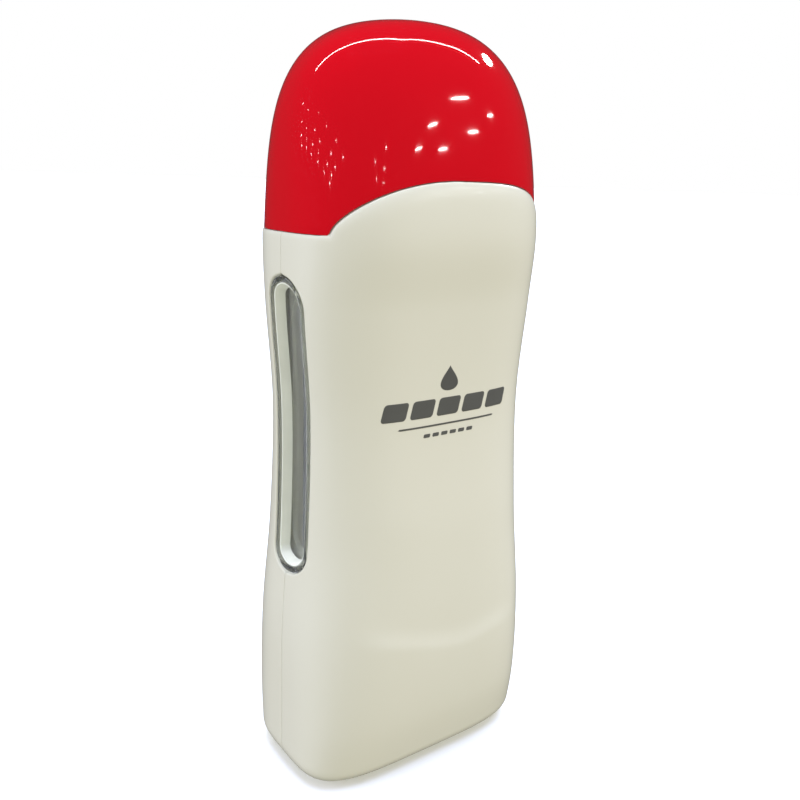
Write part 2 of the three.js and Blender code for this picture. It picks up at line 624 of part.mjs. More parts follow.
// From a lower corner of a ceramic heater down outside the other leads. Side -1 is the front.
const heaterY = (CERAMIC_NEAR + CERAMIC_FAR) / 2;
const heaterRun = (x, side) => [
  [x * 11.5, side * heaterY, HEATER_BOTTOM_Z - JOINT_GAP],
  [x * 11.6, side * heaterY, HEATER_BOTTOM_Z - STRAIGHT],
  [x * 15, side * 18.2, 58],
  [x * 16.2, side * 18.6, 50],
];
for (const [name, x] of [["left", -1], ["right", 1]]) {
  const rear = [[x * 16.5, 18, 41], [x * 15.5, 9, 31], [x * 13.3, 3.2, 23.5], ...blockEnd(x * 13)];
  lead(`heater_lead_rear_${name}`, [...heaterRun(x, 1), ...rear], MATERIAL.wireWhite);
  const front = [[x * 15.5, -18.2, 42.5], [x * 13, -8, 38.5], [x * 10, -0.3, 34], [x * 8.2, 1.6, 24.5]];
  const frontEnd = blockEnd(x * 7.6);
  lead(`heater_lead_front_${name}`, [...heaterRun(x, -1), ...front, ...frontEnd], MATERIAL.wireWhite);
}

// ---------------------------------------------------------------- the whole, resting on its feet
export default warmer;
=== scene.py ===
import json
import math

import bmesh
import bpy
import numpy as np
from mathutils import Matrix, Vector


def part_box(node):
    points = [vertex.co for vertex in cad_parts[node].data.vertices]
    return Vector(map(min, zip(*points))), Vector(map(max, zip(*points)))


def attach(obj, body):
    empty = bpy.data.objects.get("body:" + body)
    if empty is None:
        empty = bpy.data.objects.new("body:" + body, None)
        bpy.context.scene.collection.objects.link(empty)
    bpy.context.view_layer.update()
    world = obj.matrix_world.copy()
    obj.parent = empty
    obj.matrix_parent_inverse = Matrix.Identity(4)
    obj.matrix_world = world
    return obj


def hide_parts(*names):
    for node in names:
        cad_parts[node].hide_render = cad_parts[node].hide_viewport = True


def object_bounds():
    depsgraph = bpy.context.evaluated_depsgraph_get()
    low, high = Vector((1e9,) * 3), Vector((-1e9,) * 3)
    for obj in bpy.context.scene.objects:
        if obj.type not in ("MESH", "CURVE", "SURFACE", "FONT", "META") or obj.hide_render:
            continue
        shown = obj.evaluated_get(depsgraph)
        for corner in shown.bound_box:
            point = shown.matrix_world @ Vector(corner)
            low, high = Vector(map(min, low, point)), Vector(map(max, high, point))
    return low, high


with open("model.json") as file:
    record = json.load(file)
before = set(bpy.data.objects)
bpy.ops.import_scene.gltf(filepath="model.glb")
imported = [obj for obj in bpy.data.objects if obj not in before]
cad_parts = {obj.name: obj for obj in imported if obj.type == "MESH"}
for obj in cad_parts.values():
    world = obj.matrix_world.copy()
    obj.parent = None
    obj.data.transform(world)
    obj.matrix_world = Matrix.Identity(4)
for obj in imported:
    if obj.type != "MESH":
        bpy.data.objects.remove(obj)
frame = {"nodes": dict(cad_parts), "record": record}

MM = 0.001
cad_low, cad_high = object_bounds()
HEIGHT = cad_high.z / MM
scene = bpy.context.scene


def span(node):
    """The CAD node's lowest and highest corners, in millimetres."""
    low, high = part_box(node)
    return np.array(low) / MM, np.array(high) / MM


# ------------------------------------------------------------------ camera
# Azimuth, elevation and roll in radians, and distances as shares of the warmer's height.
VIEW_AZIMUTH, VIEW_ELEVATION, VIEW_ROLL = 0.6276, 0.2608, 0.0314
VIEW_DISTANCE, VIEW_RISE, VIEW_SHIFT = 1.1697, 0.5141, 0.0028
VIEW_LENS = 37.63


def add_camera():
    cos_el = math.cos(VIEW_ELEVATION)
    back = Vector((
        -math.sin(VIEW_AZIMUTH) * cos_el, -math.cos(VIEW_AZIMUTH) * cos_el, math.sin(VIEW_ELEVATION)
    ))
    level = (-back).cross(Vector((0, 0, 1))).normalized()
    upright = level.cross(-back)
    right = math.cos(VIEW_ROLL) * level + math.sin(VIEW_ROLL) * upright
    up = -math.sin(VIEW_ROLL) * level + math.cos(VIEW_ROLL) * upright
    place = back * VIEW_DISTANCE + Vector((0, 0, VIEW_RISE)) + level * VIEW_SHIFT
    data = bpy.data.cameras.new("camera")
    data.lens, data.sensor_width = VIEW_LENS, 36
    data.clip_start, data.clip_end = 0.01, 20
    camera = bpy.data.objects.new("camera", data)
    scene.collection.objects.link(camera)
    turn = Matrix((right, up, back)).transposed().to_4x4()
    camera.matrix_world = Matrix.Translation(place * HEIGHT * MM) @ turn
    scene.camera = camera


add_camera()

# ------------------------------------------------------------------ the outer form, as in the CAD
FOOT_GAP = 0.8
SHELL_WALL = 2.0
CAP_WALL = 2.0
FIT = 0.3
# Height, half-width, half-depth and section power of the shells.
STATIONS = np.array([
    [0, 38.2, 21.4, 4.2],
    [20, 38.0, 25.7, 3.8],
    [45, 37.6, 26.7, 3.4],
    [74, 35.8, 24.8, 3.2],
    [107, 35.4, 22.2, 3.2],
    [135, 37.2, 23.2, 3.2],
    [152, 37.3, 25.4, 3.1],
    [170, 37.0, 24.3, 2.9],
])
BASE_ROUND_X, BASE_ROUND_Y = 6.2, 5.2
BASE_OPENING = (26.5, 12.6, 4.0)
SEAM_Z, ARCH_RISE = 153.2, 13.3
# Half-width, power and lift of the arch's two sides: it falls away sooner on the left.
ARCH_LEFT, ARCH_RIGHT = (33.2, 2.0, 0.575), (35.0, 3.4, 0.4)
CAP_HALF_X, CAP_HALF_Y = 37.0, 24.7
CAP_POWERS = (3.1, 2.15)
WINDOW_BOTTOM, WINDOW_TOP = 61.3, 142.6
WINDOW_FRONT, WINDOW_REAR = 9.8, 7.4
WINDOW_END_FRONT, WINDOW_END_REAR = 8.5, 6.0
PARTING = 0.03  # each shell stops this far from the middle plane


def between(z, column):
    """Catmull-Rom through the stations."""
    heights, values = STATIONS[:, 0], STATIONS[:, column]
    last = len(heights) - 1
    i = np.clip(np.searchsorted(heights, z, side="left") - 1, 0, last - 1)
    before, after = np.maximum(i - 1, 0), np.minimum(i + 2, last)
    length = heights[i + 1] - heights[i]
    m1 = length * (values[i + 1] - values[before]) / (heights[i + 1] - heights[before])
    m2 = length * (values[after] - values[i]) / (heights[after] - heights[i])
    t = np.clip((z - heights[i]) / length, 0, 1)
    bend = (2 * t**3 - 3 * t**2 + 1) * values[i] + (t**3 - 2 * t**2 + t) * m1
    return bend + (3 * t**2 - 2 * t**3) * values[i + 1] + (t**3 - t**2) * m2


def edge_round(z, radius, floor_z):
    below = np.maximum(radius - (z - floor_z), 0)
    return radius - np.sqrt(np.maximum(radius**2 - below**2, 0))


def body_ring(z, inset=0.0):
    """Half-width, half-depth and power of the shells at each height."""
    z = np.asarray(z, float)
    floor_z = FOOT_GAP + inset
    half_x = between(z, 1) - edge_round(z, BASE_ROUND_X - inset, floor_z) - inset
    half_y = between(z, 2) - edge_round(z, BASE_ROUND_Y - inset, floor_z) - inset
    return half_x, half_y, between(z, 3)


def cap_ring(z):
    """Half-width, half-depth and power of the cap at each height."""
    t = np.clip((np.asarray(z, float) - SEAM_Z) / (HEIGHT - SEAM_Z), 0, 1)
    power = CAP_POWERS[0] + (CAP_POWERS[1] - CAP_POWERS[0]) * t
    return CAP_HALF_X * (1 - t**4) ** 0.38, CAP_HALF_Y * (1 - t**1.4) ** 0.25, power


def cap_inner_ring(z):
    inner_height = HEIGHT - CAP_WALL - SEAM_Z
    half_x, half_y, power = cap_ring(SEAM_Z + (z - SEAM_Z) * (HEIGHT - SEAM_Z) / inner_height)
    return half_x * (1 - CAP_WALL / CAP_HALF_X), half_y * (1 - CAP_WALL / CAP_HALF_Y), power


def seam_height(x, gap=0.0):
    """The seam's height over each width: level at the sides, arched in the middle."""
    reach, power, lift = (np.where(x < 0, a, b) for a, b in zip(ARCH_LEFT, ARCH_RIGHT))
    share = np.clip(np.abs(x) / (reach + gap), 0, 1)
    return SEAM_Z + gap + ARCH_RISE * (1 - share**power) ** lift


def oval(theta, half_x, half_y, power):
    """Points of an oval section at each angle."""
    c, s = np.cos(theta), np.sin(theta)
    return (
        half_x * np.sign(c) * np.abs(c) ** (2 / power),
        half_y * np.sign(s) * np.abs(s) ** (2 / power),
    )


def seam_on(theta, ring, gap=0.0, side=1):
    """The height at which the seam crosses each column of a form. side -1 mirrors the columns."""
    low, high = np.full_like(theta, SEAM_Z - 1), np.full_like(theta, SEAM_Z + ARCH_RISE + 2)
    for _ in range(40):
        middle = (low + high) / 2
        under = middle < seam_height(side * oval(theta, *ring(middle))[0], gap)
        low, high = np.where(under, middle, low), np.where(under, high, middle)
    return (low + high) / 2


def even_columns(theta, points, count):
    """Angles that spread a curve's points evenly along its length."""
    steps = np.linalg.norm(np.diff(points, axis=0), axis=1)
    run = np.concatenate([[0], np.cumsum(steps)])
    return np.interp(np.linspace(0, run[-1], count), run, theta)


# ------------------------------------------------------------------ mesh helpers
def grid_normals(points, wrap=False):
    """Outward normals of a grid whose columns run anticlockwise and whose rows run upwards."""
    if wrap:
        padded = np.concatenate([points[:, -1:], points, points[:, :1]], axis=1)
        along = np.gradient(padded, axis=1)[:, 1:-1]
    else:
        along = np.gradient(points, axis=1)
    normals = np.cross(along, np.gradient(points, axis=0))
    return normals / np.maximum(np.linalg.norm(normals, axis=-1, keepdims=True), 1e-12)


class Builder:
    """Collects vertices and faces of one mesh."""

    def __init__(self):
        self.verts, self.faces = [], []

    def add(self, points):
        start = len(self.verts)
        points = np.asarray(points, float)
        self.verts.extend(points.reshape(-1, 3).tolist())
        return start + np.arange(points.size // 3).reshape(points.shape[:-1])

    def sheet(self, ids, wrap=False):
        """Quads over a grid of vertex numbers."""
        if wrap:
            ids = np.concatenate([ids, ids[:, :1]], axis=1)
        quads = np.stack([ids[:-1, :-1], ids[:-1, 1:], ids[1:, 1:], ids[1:, :-1]], axis=-1)
        self.faces.extend(quads.reshape(-1, 4).tolist())

    def fan(self, loop, centre):
        hub = int(self.add([centre])[0])
        for a, b in zip(loop, np.roll(loop, -1)):
            self.faces.append([int(a), int(b), hub])


SAME_POINT, SHORT_EDGE = 2e-7, 1e-8  # metres


def to_mesh(name, builder, weld):
    """A mesh in metres with its faces outwards; weld joins points that coincide."""
    mesh = bpy.data.meshes.new(name)
    mesh.from_pydata([tuple(c * MM for c in v) for v in builder.verts], [], builder.faces)
    work = bmesh.new()
    work.from_mesh(mesh)
    if weld:
        bmesh.ops.remove_doubles(work, verts=work.verts, dist=SAME_POINT)
        bmesh.ops.dissolve_degenerate(work, edges=work.edges, dist=SHORT_EDGE)
    bmesh.ops.recalc_face_normals(work, faces=work.faces)
    work.to_mesh(mesh)
    work.free()
    return mesh


def build(name, builder, material, body, replaces=(), sharp=40):
    """Makes the piece, with edges sharper than an angle left crisp."""
    return finish_piece(name, to_mesh(name, builder, True), material, body, replaces, sharp)


def finish_piece(name, mesh, material, body, replaces=(), sharp=40):
    piece = bpy.data.objects.new(name, mesh)
    scene.collection.objects.link(piece)
    mesh.materials.clear()
    mesh.materials.append(material)
    mesh.shade_smooth()
    mesh.set_sharp_from_angle(angle=math.radians(sharp))
    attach(piece, body)
    if replaces:
        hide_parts(*replaces)
    return piece


def combine(piece, builder, operation):
    """Joins a solid to the piece, or cuts it away, and keeps the result as the piece's mesh."""
    tool = bpy.data.objects.new("tool", to_mesh("tool", builder, False))
    scene.collection.objects.link(tool)
    change = piece.modifiers.new("combine", "BOOLEAN")
    change.object, change.operation, change.solver = tool, operation, "EXACT"
    changed = piece.evaluated_get(bpy.context.evaluated_depsgraph_get())
    result = bpy.data.meshes.new_from_object(changed)
    piece.modifiers.clear()
    piece.data = result
    bpy.data.objects.remove(tool)
    result.shade_smooth()
    result.set_sharp_from_angle(angle=math.radians(35))


def perimeter(grid):
    """The border of a grid in order: bottom row, right column, top row, left column."""
    return np.concatenate([grid[0, :-1], grid[:-1, -1], grid[-1, :0:-1], grid[:0:-1, 0]])


def rolled_edge(builder, loop, normals, radius, steps=4):
    """Carries a closed border round a small radius, from the face to square with it.
    The border runs anticlockwise seen from outside. Returns the last row's numbers."""
    tangent = np.roll(loop, -1, axis=0) - np.roll(loop, 1, axis=0)
    outward = np.cross(tangent, normals)
    outward /= np.maximum(np.linalg.norm(outward, axis=1, keepdims=True), 1e-12)
    radius = np.broadcast_to(radius, len(loop))[:, None]
    rows = []
    for k in range(1, steps + 1):
        turn = math.pi / 2 * k / steps
        rows.append(loop + radius * (math.sin(turn) * outward - (1 - math.cos(turn)) * normals))
    return builder.add(np.array(rows))


def circle(radius, steps=40):
    angles = 2 * np.pi * np.arange(steps) / steps
    return radius * np.stack([np.cos(angles), np.sin(angles)], axis=-1)


def rounded_rectangle(half_a, half_b, radius, steps=8):
    turns = np.linspace(0, np.pi / 2, steps + 1)
    arc = radius * np.stack([np.cos(turns), np.sin(turns)], axis=-1)
    a, b = half_a - radius, half_b - radius
    quarters = [arc + (a, b), arc[::-1] * (-1, 1) + (-a, b), -arc - (a, b), arc[::-1] * (1, -1) + (a, -b)]
    return np.concatenate(quarters)


def grown(outline, by):
    """An outline moved outwards, point by point."""
    tangent = np.roll(outline, -1, axis=0) - np.roll(outline, 1, axis=0)
    outward = np.stack([tangent[:, 1], -tangent[:, 0]], axis=-1)
    return outline + by * outward / np.maximum(np.linalg.norm(outward, axis=1, keepdims=True), 1e-12)


# Where an outline's two directions and its own axis go, for each axis.
AXES = {"x": ([1, 2], 0), "y": ([0, 2], 1), "z": ([0, 1], 2)}


def rings(sections, axis, centre=(0, 0, 0), into=None):
    """A closed solid through outlines: each section is (outline, distance along the axis)."""
    made = into or Builder()
    (first, second), third = AXES[axis]
    points = np.zeros((len(sections), len(sections[0][0]), 3))
    for row, (outline, reach) in zip(points, sections):
        row[:, first], row[:, second], row[:, third] = outline[:, 0], outline[:, 1], reach
    ids = made.add(points + np.array(centre, float))
    made.sheet(ids, wrap=True)
    made.faces.append(ids[0].tolist())
    made.faces.append(ids[-1][::-1].tolist())
    return made


def lathe(profile, axis, centre, steps=40, into=None):
    """A turned solid: the profile is (radius, distance along the axis)."""
    return rings([(circle(r, steps), reach) for r, reach in profile], axis, centre, into)


def rounded_prism(outline, axis, low, high, round_low=0.0, round_high=0.0, centre=(0, 0, 0), into=None):
    """A prism whose ends may have rounded edges."""
    turns = np.linspace(0, np.pi / 2, 5)
    start = [(grown(outline, -round_low * (1 - math.sin(t))), low + round_low * (1 - math.cos(t)))
             for t in turns] if round_low else [(outline, low)]
    end = [(grown(outline, -round_high * (1 - math.cos(t))), high - round_high * (1 - math.sin(t)))
           for t in turns] if round_high else [(outline, high)]
    return rings(start + end, axis, centre, into)


# ------------------------------------------------------------------ materials
def node_tree(name):
    material = bpy.data.materials.new(name)
    material.use_nodes = True
    return material, material.node_tree.nodes, material.node_tree.links


def moulded(name, colour, shade, rough, grain=900, bump=0.02, cloud=35, mix=0.5, **settings):
    """A moulded or rolled surface: slow colour drift, varied gloss and a fine surface ripple.
    colour and shade are the two ends of the drift, rough the lowest and highest roughness."""
    material, nodes, links = node_tree(name)
    shader = nodes["Principled BSDF"]
    for socket, value in settings.items():
        shader.inputs[socket.replace("_", " ")].default_value = value
    place = nodes.new("ShaderNodeTexCoord")
    drift = nodes.new("ShaderNodeTexNoise")
    drift.inputs["Scale"].default_value = cloud
    drift.inputs["Detail"].default_value = 4
    ramp = nodes.new("ShaderNodeValToRGB")
    ramp.color_ramp.elements[0].position = 0.5 - mix / 2
    ramp.color_ramp.elements[1].position = 0.5 + mix / 2
    ramp.color_ramp.elements[0].color = (*shade, 1)
    ramp.color_ramp.elements[1].color = (*colour, 1)
    ripple = nodes.new("ShaderNodeTexNoise")
    ripple.inputs["Scale"].default_value = grain
    ripple.inputs["Detail"].default_value = 3
    gloss = nodes.new("ShaderNodeMapRange")
    gloss.inputs["To Min"].default_value, gloss.inputs["To Max"].default_value = rough
    raised = nodes.new("ShaderNodeBump")
    raised.inputs["Strength"].default_value = 1
    raised.inputs["Distance"].default_value = bump * MM
    for noise in (drift, ripple):
        links.new(place.outputs["Object"], noise.inputs["Vector"])
    links.new(drift.outputs["Fac"], ramp.inputs["Fac"])
    links.new(ramp.outputs["Color"], shader.inputs["Base Color"])
    links.new(drift.outputs["Fac"], gloss.inputs["Value"])
    links.new(gloss.outputs["Result"], shader.inputs["Roughness"])
    links.new(ripple.outputs["Fac"], raised.inputs["Height"])
    links.new(raised.outputs["Normal"], shader.inputs["Normal"])
    return material


def let_lamps_through(material):
    """Rays from lamps cross the material unbent, so that they light what is behind it."""
    nodes, links = material.node_tree.nodes, material.node_tree.links
    path, clear = nodes.new("ShaderNodeLightPath"), nodes.new("ShaderNodeBsdfTransparent")
    choice = nodes.new("ShaderNodeMixShader")
    links.new(path.outputs["Is Shadow Ray"], choice.inputs["Fac"])
    links.new(nodes["Principled BSDF"].outputs["BSDF"], choice.inputs[1])
    links.new(clear.outputs["BSDF"], choice.inputs[2])
    links.new(choice.outputs["Shader"], nodes["Material Output"].inputs["Surface"])
    return material


LOOKS = {
    "shell_white": moulded(
        "shell_white", (0.635, 0.62, 0.505), (0.615, 0.595, 0.475), (0.2, 0.3),
        grain=420, bump=0.004, cloud=14, Coat_Weight=0.25, Coat_Roughness=0.08,
    ),
    "collar_white": moulded("collar_white", (0.7, 0.68, 0.6), (0.66, 0.64, 0.55), (0.35, 0.45)),
    "base_white": moulded("base_white", (0.68, 0.66, 0.58), (0.62, 0.6, 0.52), (0.5, 0.65), bump=0.05),
    "cap_red": moulded(
        "cap_red", (0.57, 0.002, 0.009), (0.52, 0.0015, 0.007), (0.04, 0.07),
        grain=260, bump=0.001, cloud=18, Coat_Weight=0.6, Coat_Roughness=0.01,
    ),
    "window_clear": let_lamps_through(moulded(
        "window_clear", (0.95, 0.95, 0.88), (0.91, 0.92, 0.84), (0.02, 0.06),
        grain=300, bump=0.004, Transmission_Weight=0.96, IOR=1.27,
    )),
    "liner_grey": moulded("liner_grey", (0.7, 0.7, 0.55), (0.64, 0.64, 0.49), (0.4, 0.6), bump=0.03),
    "plate_aluminium": moulded(
        "plate_aluminium", (0.42, 0.42, 0.39), (0.3, 0.3, 0.27), (0.3, 0.5), Metallic=1.0, cloud=60
    ),
    "heater_ceramic": moulded("heater_ceramic", (0.75, 0.72, 0.64), (0.66, 0.62, 0.54), (0.5, 0.75)),
    "film_amber": moulded("film_amber", (0.5, 0.21, 0.05), (0.42, 0.16, 0.03), (0.2, 0.35)),
    "spring_steel": moulded(
        "spring_steel", (0.5, 0.51, 0.52), (0.4, 0.41, 0.43), (0.22, 0.4), Metallic=1.0
    ),
    "screw_steel": moulded(
        "screw_steel", (0.58, 0.58, 0.59), (0.45, 0.45, 0.47), (0.22, 0.4), Metallic=1.0
    ),
    "control_black": moulded("control_black", (0.03, 0.03, 0.033), (0.015, 0.015, 0.017), (0.3, 0.5)),
    "pin_brass": moulded("pin_brass", (0.66, 0.52, 0.24), (0.52, 0.39, 0.16), (0.2, 0.35), Metallic=1.0),
    "foot_rubber": moulded("foot_rubber", (0.1, 0.1, 0.1), (0.07, 0.07, 0.07), (0.75, 0.95), bump=0.06),
    "lamp_red": moulded(
        "lamp_red", (0.8, 0.08, 0.03), (0.7, 0.05, 0.02), (0.05, 0.12), Transmission_Weight=0.7
    ),
    "lamp_glass": moulded(
        "lamp_glass", (0.9, 0.93, 0.93), (0.85, 0.88, 0.88), (0.02, 0.06), Transmission_Weight=1.0
    ),
    "board_green": moulded("board_green", (0.04, 0.2, 0.08), (0.03, 0.15, 0.055), (0.3, 0.5)),
    "lead_red": moulded("lead_red", (0.45, 0.035, 0.02), (0.38, 0.025, 0.015), (0.45, 0.65)),
    "lead_blue": moulded("lead_blue", (0.03, 0.12, 0.45), (0.025, 0.09, 0.36), (0.45, 0.65)),
    "lead_white": moulded("lead_white", (0.74, 0.73, 0.69), (0.66, 0.65, 0.6), (0.45, 0.65)),
}
# Painted light: the strip's pale colour stands in for light falling through the window onto the chamber
# wall.
WINDOW_PAINTED_LIGHT = moulded(
    "window_satin", (0.8, 0.81, 0.69), (0.72, 0.73, 0.62), (0.15, 0.3), grain=600, bump=0.01, cloud=120
)
PRINT_GREY = moulded(
    "print_grey", (0.1, 0.1, 0.085), (0.07, 0.07, 0.06), (0.35, 0.55), grain=1500, bump=0.01
)

for part in frame["record"]["subparts"]:
    carried = frame["nodes"][part["node"]]
    carried.data.materials.clear()
    carried.data.materials.append(LOOKS[part["material_slot"]])


# ------------------------------------------------------------------ shells
def window_reach(z, side, margin):
    """How far the window slot reaches from the middle plane at each height, on one side."""
    reach, end = (WINDOW_FRONT, WINDOW_END_FRONT) if side < 0 else (WINDOW_REAR, WINDOW_END_REAR)
    reach, end = reach + margin, end + margin
    inside = np.minimum(z - (WINDOW_BOTTOM - margin), WINDOW_TOP + margin - z)
    short = np.clip((end - inside) / end, 0, 1)
    return np.where(inside > 0, reach * np.sqrt(1 - short**2), 0)


def shell_heights(side, margin, inset):
    """Heights of the shell's level rows, closer over the base edge and at the window's ends."""
    end = (WINDOW_END_FRONT if side < 0 else WINDOW_END_REAR) + margin
    turn = 1 - np.cos(np.linspace(0, np.pi / 2, 15))
    bottom, top = WINDOW_BOTTOM - margin, WINDOW_TOP + margin
    edge = (BASE_ROUND_X - inset) * (1 - np.cos(np.linspace(0.12, np.pi / 2, 12)))
    base = FOOT_GAP + inset + edge
    return np.concatenate([
        base,
        np.linspace(base[-1], bottom, 40)[1:-1],
        bottom + end * turn,
        np.linspace(bottom + end, top - end, 36)[1:-1],
        top - end * turn[::-1],
    ])


ROLL_STEPS = np.array([0, 0.12, 0.3, 0.6, 1.0, 1.5, 2.1, 2.8, 3.6, 4.5, 5.6])
COLUMNS = 170
CREASE_DEPTH = 0.6


def crease(x, z):
    """The lower front swells to a soft crease; the surface above it sits back a little."""
    line = 39 + np.where(x < 6, 0.28, 0.13) * (np.sqrt((x - 6) ** 2 + 16) - 4)
    above = z - line
    rise = np.clip(above / 6, 0, 1)
    rise = rise * (2 - rise)
    fall = np.clip((above - 6) / 32, 0, 1)
    fall = 1 - fall**2 * (3 - 2 * fall)
    ends = np.clip((31 - np.abs(x)) / 12, 0, 1)
    return CREASE_DEPTH * rise * fall * ends**2 * (3 - 2 * ends)


def shell_skin(side, inset, margin, parting, columns):
    """One face of a shell as a grid from its left border to its right border, bottom row first.
    margin grows the window, parting is the distance of the other side edges from the middle."""
    level = shell_heights(side, margin, inset)
    tops = seam_on(columns, lambda z: body_ring(z, inset), 0.0, side)
    rows = []

    def row(z, ring, start):
        half_x, half_y, power = ring
        first = np.arcsin(np.clip(start / half_y, 0, 1) ** (power / 2))
        theta = first + (np.pi - 2 * first) * columns / np.pi
        x, y = oval(theta, half_x, half_y, power)
        return np.stack([side * x, side * y, np.broadcast_to(z, x.shape)], axis=-1)

    base_x, base_y, base_power = (np.array(v, float) for v in body_ring(FOOT_GAP + inset, inset))
    open_x, open_y, open_power = BASE_OPENING
    pull = 0.4 if inset == 0 else 0
    for k in (0, 0.33, 0.66, 1):
        mixed = [
            (open_x + pull) * (1 - k) + base_x * k,
            (open_y + pull) * (1 - k) + base_y * k,
            open_power * (1 - k) + base_power * k,
        ]
        rows.append(row(FOOT_GAP + inset, mixed, parting))
    for z in level:
        start = max(parting, float(window_reach(z, side, margin)))
        rows.append(row(z, body_ring(z, inset), start))
    upper = tops[None] - ROLL_STEPS[::-1, None]
    steps = np.linspace(0, 1, 9)[1:-1, None]
    blend = level[-1] + (upper[:1] - level[-1]) * steps
    for z in np.concatenate([blend, upper]):
        rows.append(row(z, body_ring(z, inset), parting))
    return np.array(rows)


def shell_columns(side):
    theta = np.linspace(0, np.pi, 4001)
    z = seam_on(theta, body_ring, 0.0, side)
    x, y = oval(theta, *body_ring(z))
    return even_columns(theta, np.stack([x, y, z], axis=-1), COLUMNS)


def distance_to(points, line):
    """Distance of each point of a grid from a line of points."""
    flat = points.reshape(-1, 3)
    nearest = np.full(len(flat), 1e9)
    for start in range(0, len(line), 40):
        part = line[start:start + 40]
        gaps = np.linalg.norm(flat[:, None] - part[None], axis=-1).min(axis=1)
        nearest = np.minimum(nearest, gaps)
    return nearest.reshape(points.shape[:-1])


def make_shell(side):
    columns = shell_columns(side)
    window_round, part_round = 0.6, 0.13
    outer = shell_skin(side, 0.0, window_round, PARTING + part_round, columns)
    inner = shell_skin(side, SHELL_WALL, 0.0, PARTING, columns)
    normals = grid_normals(outer)

    # The top edge is rolled towards the cap, deepest under the arch.
    dense = np.linspace(0, np.pi, 1500)
    edge_z = seam_on(dense, body_ring, 0.0, side)
    x, y = oval(dense, *body_ring(edge_z))
    edge = np.stack([side * x, side * y, edge_z], axis=-1)
    near_top = outer[..., 2] > SEAM_Z - 8
    gap = np.full(outer.shape[:2], 99.0)
    gap[near_top] = distance_to(outer[near_top], edge)
    raised = np.clip((seam_height(outer[..., 0]) - SEAM_Z) / 12, 0, 1)
    raised = raised**2 * (3 - 2 * raised)
    roll_depth, roll_height = 0.35 + 0.75 * raised, 1.4 + 3.6 * raised
    share = np.clip(1 - gap / roll_height, 0, 1)
    inward = roll_depth * (1 - np.sqrt(1 - share**2))
    if side < 0:
        inward += crease(outer[..., 0], outer[..., 2])
    outer = outer - inward[..., None] * normals
    normals = grid_normals(outer)

    made = Builder()
    outer_ids, inner_ids = made.add(outer), made.add(inner)
    made.sheet(outer_ids)
    made.sheet(inner_ids[:, ::-1])
    loop, loop_normals = perimeter(outer), perimeter(normals)
    is_side = np.zeros(outer.shape[:2], bool)
    is_side[:, 0] = is_side[:, -1] = True
    radius = np.full(outer.shape[:2], 0.3)
    at_window = window_reach(outer[..., 2], side, window_round) > PARTING + part_round
    radius[is_side] = part_round
    radius[is_side & at_window] = window_round
    radius[0] = 0.4
    radius[-1] = 0.1
    edge_ids = rolled_edge(made, loop, loop_normals, perimeter(radius))
    border = np.concatenate([perimeter(outer_ids)[None], edge_ids, perimeter(inner_ids)[None]])
    made.sheet(border, wrap=True)
    return made


front_shell = build("shell_front", make_shell(-1), LOOKS["shell_white"], "body",
                    ["front_shell"])
rear_shell = build("shell_rear", make_shell(1), LOOKS["shell_white"], "body",
                   ["rear_shell"])


# ------------------------------------------------------------------ cap
CAP_COLUMNS, CAP_ROWS = 260, 90
CAP_GAP = 0.14  # between the closed cap and the shells


def cap_skin(ring, top, gap, columns, lift):
    """The cap's outer or inner face from its lip up to just short of the pole. lift raises the
    first row, to leave room for the rounded lip."""
    lip = seam_on(columns, ring, gap) + lift
    start = ((top - lip) / (top - SEAM_Z)) ** (1 / 3)
    q = start[None] * np.linspace(1, 0, CAP_ROWS + 1)[:-1, None]
    z = top - (top - SEAM_Z) * q**3
    x, y = oval(columns[None], *ring(z))
    return np.stack([x, y, z], axis=-1)


def make_cap():
    theta = np.linspace(0, 2 * np.pi, 8001)
    z = seam_on(theta, cap_ring, CAP_GAP)
    x, y = oval(theta, *cap_ring(z))
    columns = even_columns(theta, np.stack([x, y, z], axis=-1), CAP_COLUMNS + 1)[:-1]
    lip_round = 0.2
    outer = cap_skin(cap_ring, HEIGHT, CAP_GAP, columns, lip_round)
    inner = cap_skin(cap_inner_ring, HEIGHT - CAP_WALL, CAP_GAP, columns, 0)
    normals = grid_normals(outer, wrap=True)
    made = Builder()
    outer_ids, inner_ids = made.add(outer), made.add(inner)
    made.sheet(outer_ids, wrap=True)
    made.sheet(inner_ids, wrap=True)
    edge_ids = rolled_edge(made, outer[0], normals[0], lip_round)
    made.sheet(np.concatenate([outer_ids[:1], edge_ids, inner_ids[:1]]), wrap=True)
    made.fan(outer_ids[-1], (0, 0, HEIGHT))
    made.fan(inner_ids[-1], (0, 0, HEIGHT - CAP_WALL))
    return made


build("cap_dome", make_cap(), LOOKS["cap_red"], "cap", ["cap"])


# ------------------------------------------------------------------ windows
def window_outline(margin, count=18):
    """The window's outline grown by a margin, as (y, z) points."""
    half = (WINDOW_TOP - WINDOW_BOTTOM) / 2 + margin
    middle = (WINDOW_TOP + WINDOW_BOTTOM) / 2
    points = []
    for reach, end, side in (
        (WINDOW_REAR + margin, WINDOW_END_REAR + margin, 1),
        (-WINDOW_FRONT - margin, WINDOW_END_FRONT + margin, -1),
    ):
        turn = np.linspace(0, np.pi / 2, count + 1)
        leaving = [(reach * math.sin(a), middle + side * (half - end + end * math.cos(a))) for a in turn]
        straight = np.linspace(1, -1, 26)[1:-1] * (half - end)
        flat = [(reach, middle + side * s) for s in straight]
        coming = [
            (reach * math.cos(a), middle - side * (half - end + end * math.sin(a))) for a in turn
        ]
        points += leaving + flat + coming[:-1]
    return np.array(points)


def side_wall(y, z, inset):
    """The body's half-width at a depth and height on its side."""
    half_x, half_y, power = body_ring(z, inset)
    return half_x * (1 - np.clip(np.abs(y) / half_y, 0, 1) ** power) ** (1 / power)


